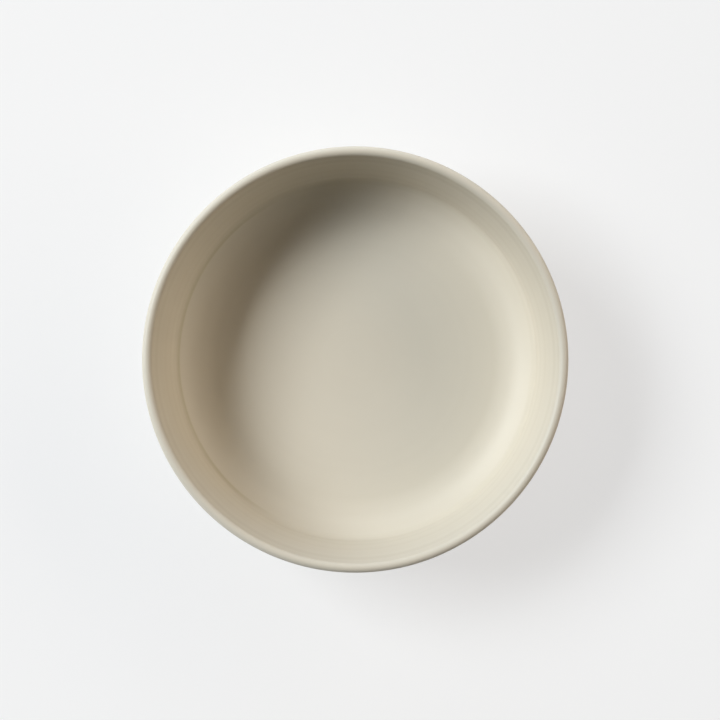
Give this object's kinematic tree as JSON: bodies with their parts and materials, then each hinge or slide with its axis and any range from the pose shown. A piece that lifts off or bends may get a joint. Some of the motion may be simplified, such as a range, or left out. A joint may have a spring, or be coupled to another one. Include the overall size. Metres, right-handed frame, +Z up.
{
  "type": "prep bowl",
  "caption": "Low round stoneware bowl with a flat well, straight leaning wall, full-round lip and a bare foot ring, semi-gloss warm grey glaze inside and out.",
  "frame": {"origin": "centre of the foot ring's resting face, on the table", "axes": "+Z up along the bowl's axis of revolution; the bowl is round, so X and Y are free"},
  "size_m": [0.22, 0.22, 0.062],
  "materials": {
    "stoneware": "bare fired clay, warm buff, matt, fine grain",
    "glaze": "smooth semi-gloss bone glaze, even tone, faint throwing rings"
  },
  "bodies": {
    "root": {"stoneware_body": "stoneware", "glaze_coat": "glaze", "base_glaze": "glaze"}
  },
  "joints": []
}
